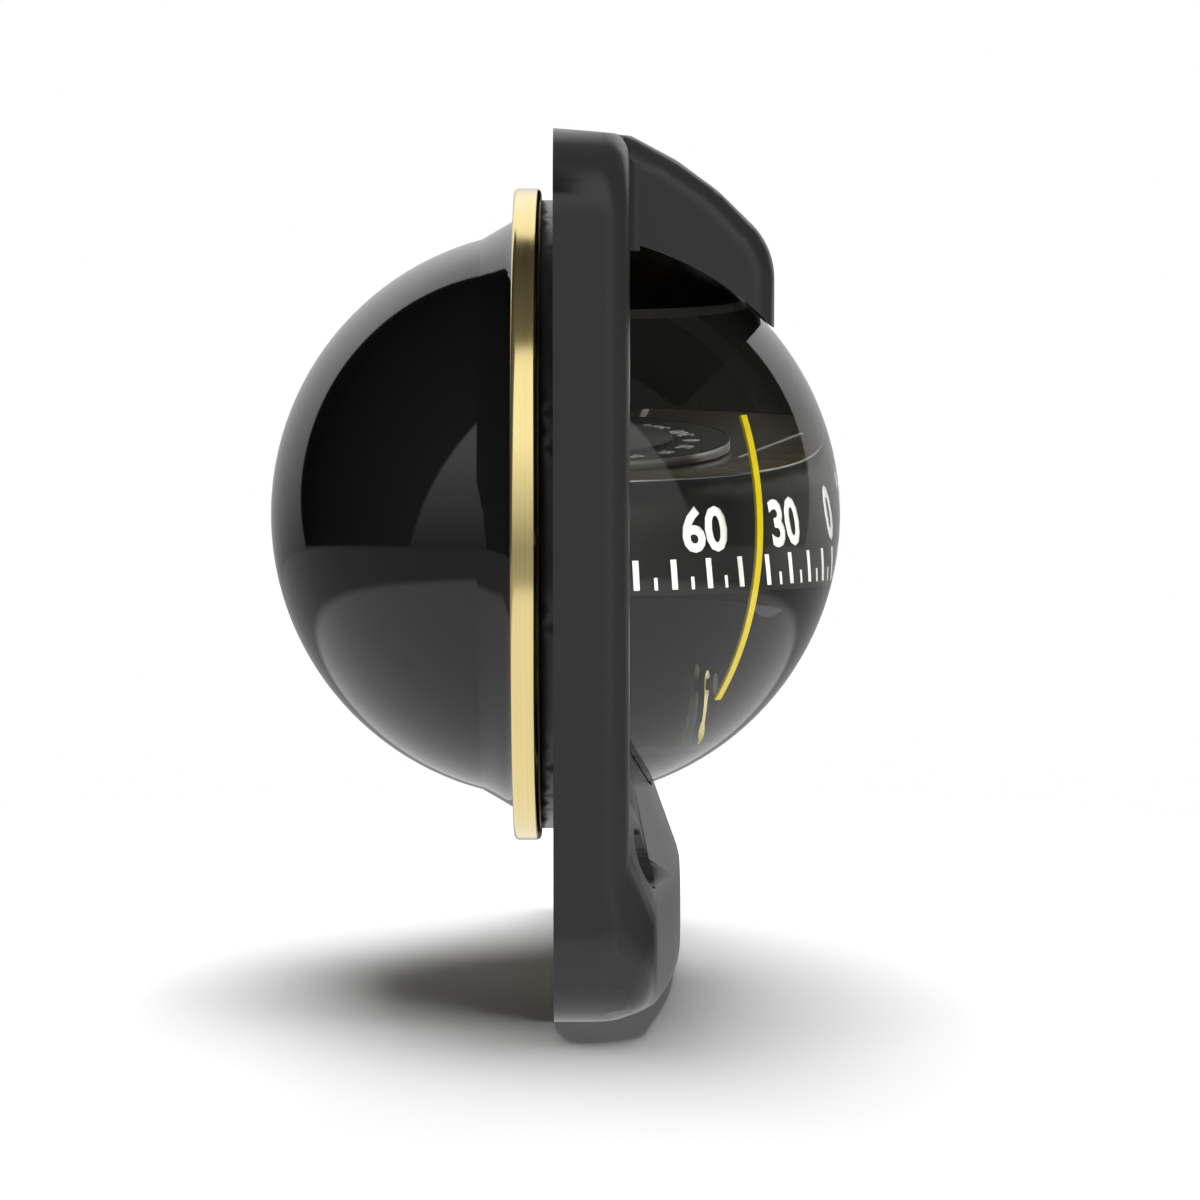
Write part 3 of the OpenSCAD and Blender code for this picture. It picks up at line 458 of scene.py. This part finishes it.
# %% Turn the clamp ring
RING_STEPS = 200
pick(ring, lambda at: True)
bpy.ops.mesh.delete(type="ONLY_FACE")
pick(ring, lambda at: at.x > ring_in - HAIR and abs(at.y - lip_front) < HAIR)
bpy.ops.mesh.delete(type="EDGE")
pick(ring, lambda at: abs(at.x - ring_in) < HAIR and at.y > lip_front - HAIR)
bpy.ops.mesh.delete(type="EDGE")
bpy.ops.mesh.select_all(action="SELECT")
bpy.ops.mesh.spin(steps=RING_STEPS, angle=2 * math.pi, center=(0, 0, 0), axis=(0, 1, 0))
bpy.ops.mesh.select_all(action="SELECT")
bpy.ops.mesh.remove_doubles(threshold=DOUBLES * MM)
bpy.ops.mesh.normals_make_consistent(inside=False)
bpy.ops.object.mode_set(mode="OBJECT")
shade_softly(ring, 35)
ring.data.materials.append(brass)
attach(ring, "housing")
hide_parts("clamp_ring")
print("ring has", len(ring.data.polygons), "faces")

# %% [markdown]
# The fluid fills the sphere. It wets the bowl, so its rear half reaches a hair into the wall, and a look from inside
# meets the black wall and not a mirror of air. Its front half stays a hair clear of the dome. It could be two half
# spheres, but their seam might show in the lens. So it starts as one sphere, and its front half is then drawn out to
# the dome's radius.

# %% Damping fluid
WET, FILM_GAP = 0.08, 0.05
RIM_Y = -1.0  # the dome's half of the fluid lies before this depth
deselect_all()
bpy.ops.mesh.primitive_uv_sphere_add(segments=160, ring_count=80, radius=(bowl_in + WET) * MM, location=(0, 0, 0))
fluid = bpy.context.object
fluid.name = "damping_fluid"
pick(fluid, lambda at: at.y < RIM_Y)
draw_out = (dome_in - FILM_GAP) / (bowl_in + WET)
bpy.ops.transform.resize(value=(draw_out, draw_out, draw_out), center_override=(0, 0, 0))
bpy.ops.object.mode_set(mode="OBJECT")
fluid.data.materials.append(mineral_oil)
bpy.ops.object.shade_smooth()
fluid.visible_shadow = False
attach(fluid, "housing")
fluid_y = sorted(v.co.y / MM for v in fluid.data.vertices)
print("fluid reaches from", round(fluid_y[0], 2), "to", round(fluid_y[-1], 2), "mm")

# %% [markdown]
# The card's scale is printed on the drum's slightly conical skirt. Marks stand every 5 degrees, the long ones every
# 10, and numbers every 30. They could be a pattern in the card's material, but plates of ink stay sharp however close
# one looks. Each kind of mark is one small plate, made on the front of the skirt and leant back to lie on the cone.
# The rest are copies, turned about the card's axis.

# %% Helpers for the printing
REST_HEADING = -10.0
INK, LIFT = 0.04, 0.01  # the ink's thickness, and how far its underside stands off the card, so that the two don't mix
LEAN = math.atan((low_r - top_r) / (plate_z - card_low.z))


def skirt_radius(z):
    return low_r + (z - card_low.z) / (plate_z - card_low.z) * (top_r - low_r)


def give_ink(piece):
    """Turns a flat print into a plate of ink."""
    take(piece)
    coat = piece.modifiers.new("ink", "SOLIDIFY")
    coat.thickness = INK * MM
    coat.offset = 1
    bpy.ops.object.modifier_apply(modifier="ink")


def copy_round(piece, headings):
    """Copies of a piece that lies at heading 0 on the front, each turned to its heading. The first one is removed."""
    copies = []
    for heading in headings:
        copy = bpy.data.objects.new(piece.name, piece.data.copy())
        bpy.context.scene.collection.objects.link(copy)
        copy.rotation_euler.z = -math.radians(heading + REST_HEADING)
        copies.append(copy)
    bpy.data.objects.remove(piece)
    return copies


def join_on_card(name, pieces, material):
    """Joins pieces into one that rides with the card."""
    deselect_all()
    for piece in pieces:
        piece.select_set(True)
    bpy.context.view_layer.objects.active = pieces[0]
    bpy.ops.object.join()
    whole = bpy.context.object
    whole.name = name
    apply_place(whole)
    whole.data.materials.clear()
    whole.data.materials.append(material)
    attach(whole, "card_body")
    print(name, "has", len(whole.data.polygons), "faces")

# %% Marks on the skirt
MARK_LOW_Z = -7.4
LONG_MARK, SHORT_MARK = (0.8, 3.8), (0.46, 1.6)  # width and height


def skirt_mark(size):
    wide, tall = size
    middle = MARK_LOW_Z + tall / 2
    place = (0, -(skirt_radius(middle) + LIFT) * MM, middle * MM)
    deselect_all()
    bpy.ops.mesh.primitive_plane_add(size=1, location=place, rotation=(math.pi / 2 - LEAN, 0, 0))
    mark = bpy.context.object
    mark.scale = (wide * MM, tall * MM, 1)
    apply_place(mark)
    give_ink(mark)
    return mark


marks = copy_round(skirt_mark(LONG_MARK), range(0, 360, 10)) + copy_round(skirt_mark(SHORT_MARK), range(5, 360, 10))
join_on_card("card_marks", marks, white_ink)

# %% [markdown]
# A number starts as text, which becomes a mesh. It is stood before the skirt, cut finer, and wrapped on the cone by
# a Shrinkwrap modifier before it gets the ink's thickness.

# %% Numbers on the skirt
NUMBER_LOW_Z, NUMBER_TALL, NUMBER_BOLD = -2.9, 5.7, 0.03
NARROW, CURVE_STEPS, CUTS, STAND_OFF = 0.94, 3, 2, 0.2


def number(text, tall, bold):
    """A mesh of the text, tall in mm, centred on the origin's upright and standing on it, flat in XY."""
    deselect_all()
    bpy.ops.object.text_add(location=(0, 0, 0))
    words = bpy.context.object
    words.data.body = text
    words.data.align_x = "CENTER"
    words.data.offset = bold
    words.data.resolution_u = CURVE_STEPS
    bpy.ops.object.convert(target="MESH")
    words = bpy.context.object
    words.name = "number_" + text
    low = min(v.co.y for v in words.data.vertices)
    high = max(v.co.y for v in words.data.vertices)
    bpy.ops.object.mode_set(mode="EDIT")
    bpy.ops.mesh.select_all(action="SELECT")
    bpy.ops.transform.translate(value=(0, -low, 0))
    bpy.ops.mesh.subdivide(number_cuts=CUTS)
    bpy.ops.object.mode_set(mode="OBJECT")
    words.scale = (tall / (high - low) * MM * NARROW, tall / (high - low) * MM, 1)
    apply_place(words)
    return words


numbers = []
for heading in range(0, 360, 30):
    words = number(str(heading), NUMBER_TALL, NUMBER_BOLD)
    words.location = (0, -(skirt_radius(NUMBER_LOW_Z) + STAND_OFF) * MM, NUMBER_LOW_Z * MM)
    words.rotation_euler.x = math.pi / 2 - LEAN
    apply_place(words)
    wrap = words.modifiers.new("wrap", "SHRINKWRAP")
    wrap.target = card
    wrap.offset = LIFT * MM
    wrap.wrap_mode = "ABOVE_SURFACE"
    bpy.ops.object.modifier_apply(modifier="wrap")
    give_ink(words)
    numbers += copy_round(words, [heading])
join_on_card("card_numbers", numbers, white_ink)

# %% [markdown]
# A ring of small numbers lies flat on the raised disc, for a reader who looks down on the card. A thin bright line
# runs round the card's rim, and another round the disc. A round wire would be quicker, but the real line is a flat
# strip, so a circle is drawn up into a low wall. Two index lines are printed across the olive top.

# %% Small numbers on the disc
SMALL_TALL, SMALL_BOLD, SMALL_R = 1.7, 0.02, 14.1
small = []
for heading in range(0, 360, 20):
    words = number(str(heading), SMALL_TALL, SMALL_BOLD)
    words.location = (0, -SMALL_R * MM, (disc_z + LIFT) * MM)
    apply_place(words)
    give_ink(words)
    small += copy_round(words, [heading])
join_on_card("disc_numbers", small, white_ink)

# %% Bright rims of the card
RIM_POINTS, RIM_THICK, RIM_FIT = 144, 0.12, 0.02


def rim_band(name, radius, z, tall, lean=0.0):
    """A thin band round the card: a circle drawn up into a wall, then given its thickness and a soft edge."""
    deselect_all()
    bpy.ops.mesh.primitive_circle_add(vertices=RIM_POINTS, radius=radius * MM, location=(0, 0, 0))
    band = bpy.context.object
    band.name = name
    bpy.ops.object.mode_set(mode="EDIT")
    bpy.ops.mesh.select_all(action="SELECT")
    bpy.ops.transform.translate(value=(0, 0, (z - tall) * MM))
    bpy.ops.mesh.extrude_edges_move(TRANSFORM_OT_translate={"value": (0, 0, tall * MM)})
    pull = 1 - lean * tall / radius
    bpy.ops.transform.resize(value=(pull, pull, 1), center_override=(0, 0, z * MM))
    bpy.ops.mesh.select_all(action="SELECT")
    bpy.ops.mesh.normals_make_consistent(inside=False)
    bpy.ops.object.mode_set(mode="OBJECT")
    wall = band.modifiers.new("wall", "SOLIDIFY")
    wall.thickness = RIM_THICK * MM
    wall.offset = 0
    soft = band.modifiers.new("soft", "BEVEL")
    soft.width = RIM_THICK * 0.3 * MM
    soft.segments = 2
    for modifier in ("wall", "soft"):
        bpy.ops.object.modifier_apply(modifier=modifier)
    bpy.ops.object.shade_smooth_by_angle(angle=math.radians(40))
    return band


card_rim = rim_band("card_rim", top_r + RIM_FIT, z=plate_z + 0.06, tall=0.22, lean=math.tan(LEAN))
join_on_card("card_rim", [card_rim], steel)
disc_rim = rim_band("disc_rim", disc_r + RIM_FIT, z=disc_z + 0.05, tall=0.9)
join_on_card("disc_rim", [disc_rim], steel)

# %% Index lines on the olive top
def index_line(start, end, wide):
    """A printed line from start to end on the card's top, in mm, at the card's rest heading."""
    a, b = Vector(start), Vector(end)
    middle, run = (a + b) / 2, b - a
    place = (middle.x * MM, middle.y * MM, (plate_z + LIFT) * MM)
    deselect_all()
    bpy.ops.mesh.primitive_plane_add(size=1, location=place, rotation=(0, 0, math.atan2(run.y, run.x)))
    line = bpy.context.object
    line.scale = (run.length * MM, wide * MM, 1)
    apply_place(line)
    give_ink(line)
    return line


lines = [index_line((-1.0, -18.6), (13.4, -20.7), 0.35), index_line((17.5, -6.6), (25.4, -6.5), 0.45)]
join_on_card("index_lines", lines, white_ink)

# %% [markdown]
# The compass stands on a plain pale floor in a white studio. What the studio looks like can be read in the glossy
# bowl, which mirrors it: a tall bright panel behind the compass and another beside the camera, both leaning inwards
# and fading towards the horizon, with a dark gap between them. The bowl mirrors the ground as white, with no shadow
# on it, so gloss here sees the ground of the world and not the floor piece. Soft lamps that the gloss doesn't mirror
# light the floor and the card. The floor and the lamps are placed in metres.

# %% Floor
FLOOR_R = 0.19
floor_z = cad_box[0].z
deselect_all()
bpy.ops.mesh.primitive_circle_add(vertices=128, radius=FLOOR_R, fill_type="NGON", location=(0, 0, floor_z))
floor = bpy.context.object
floor.name = "floor"
paper, shader = start_material("white_paper", "#FAFAFA", 0.6, Specular_IOR_Level=0.1)
grain(paper, shader, 2.0, 0.004)
floor.data.materials.append(paper)
floor.visible_glossy = False
print("floor at", round(floor_z / MM, 2), "mm")

# %% Lamps
def lamp(name, place, size, power):
    """A soft lamp, power in watts, that looks at the sphere's centre and that gloss and clear pieces don't show."""
    data = bpy.data.lights.new(name, "AREA")
    data.shape = "RECTANGLE"
    data.size, data.size_y = size
    data.energy = power
    item = bpy.data.objects.new(name, data)
    bpy.context.scene.collection.objects.link(item)
    item.location = place
    item.rotation_euler = (-Vector(place)).to_track_quat("-Z", "Y").to_euler()
    item.visible_glossy = False
    item.visible_transmission = False


lamp("overhead", (0.26, 0.0, 0.9), (0.6, 0.6), 13)
lamp("before_dome", (-0.75, -0.55, -0.02), (0.3, 0.3), 9)
print("lamps:", len(bpy.data.lights))

# %% [markdown]
# The world is one number for each direction: how bright the studio is there. X, Y and Z are the parts of a direction
# of length 1, so a sum of them that is zero on a slanting plane draws the panels' slanting edge. Four ramps then give
# the panels' fade, the dark gap between them, and the far and the near ground.

# %% Edge of the panels
PANEL_SIDE, PANEL_LEAN, PANEL_BLUR = 0.67, 0.48, 0.01
world = bpy.data.worlds.new("studio")
bpy.context.scene.world = world
world.use_nodes = True
tree = world.node_tree
look = add_node(tree, "ShaderNodeTexCoord").outputs["Generated"]
axes = add_node(tree, "ShaderNodeSeparateXYZ", {"Vector": look}).outputs
along = add_node(tree, "ShaderNodeMath", {0: axes["X"]}, operation="ABSOLUTE").outputs[0]
across = add_node(tree, "ShaderNodeMath", {0: axes["Y"]}, operation="ABSOLUTE").outputs[0]
across = add_node(tree, "ShaderNodeMath", {0: across, 1: PANEL_SIDE}, operation="MULTIPLY").outputs[0]
leant = add_node(tree, "ShaderNodeMath", {0: axes["Z"], 1: PANEL_LEAN}, operation="MULTIPLY").outputs[0]
edge = add_node(tree, "ShaderNodeMath", {0: along, 1: across}, operation="SUBTRACT").outputs[0]
edge = add_node(tree, "ShaderNodeMath", {0: edge, 1: leant}, operation="SUBTRACT").outputs[0]
panel = add_node(tree, "ShaderNodeMapRange", {"Value": edge}, From_Min=-PANEL_BLUR, From_Max=PANEL_BLUR)

# %% Brightness of the studio
RAMPS = {
    "panel": ("Z", dict(From_Min=-0.17, From_Max=0.5, To_Min=0.3, To_Max=1.3)),
    "gap": ("X", dict(From_Min=-0.8, From_Max=0.5, To_Min=0.2, To_Max=0.02)),
    "far ground": ("Z", dict(From_Min=-0.16, From_Max=-0.14, To_Min=0.4, To_Max=0.0)),
    "near ground": ("Z", dict(From_Min=-0.38, From_Max=-0.32, To_Min=1.05, To_Max=0.0)),
}
glow = {
    name: add_node(tree, "ShaderNodeMapRange", {"Value": axes[axis]}, **ramp).outputs["Result"]
    for name, (axis, ramp) in RAMPS.items()
}
glow["ground"] = glow["far ground"]
for name, other in (("ground", "near ground"), ("gap", "ground"), ("panel", "ground")):
    pair = {0: glow[name], 1: glow[other]}
    glow[name] = add_node(tree, "ShaderNodeMath", pair, operation="MAXIMUM").outputs[0]
mix = {"Factor": panel.outputs["Result"], "A": glow["gap"], "B": glow["panel"]}
room = add_node(tree, "ShaderNodeMix", mix, data_type="FLOAT")
print("ramps in the world:", len(RAMPS))

# %% [markdown]
# The camera sees plain white behind the compass, so the room is mixed away for what the camera sees directly. The
# world lights no matt surface, because the lamps do that.

# %% White behind the compass
path = add_node(tree, "ShaderNodeLightPath")
mix = {"Factor": path.outputs["Is Camera Ray"], "A": room.outputs["Result"], "B": 1.0}
seen = add_node(tree, "ShaderNodeMix", mix, data_type="FLOAT")
backdrop = tree.nodes["Background"]
tree.links.new(seen.outputs["Result"], backdrop.inputs["Strength"])
backdrop.inputs["Color"].default_value = linear("#FFFFFF")
world.cycles_visibility.diffuse = False
bpy.context.scene.view_settings.view_transform = "Standard"
print("world nodes:", len(tree.nodes))
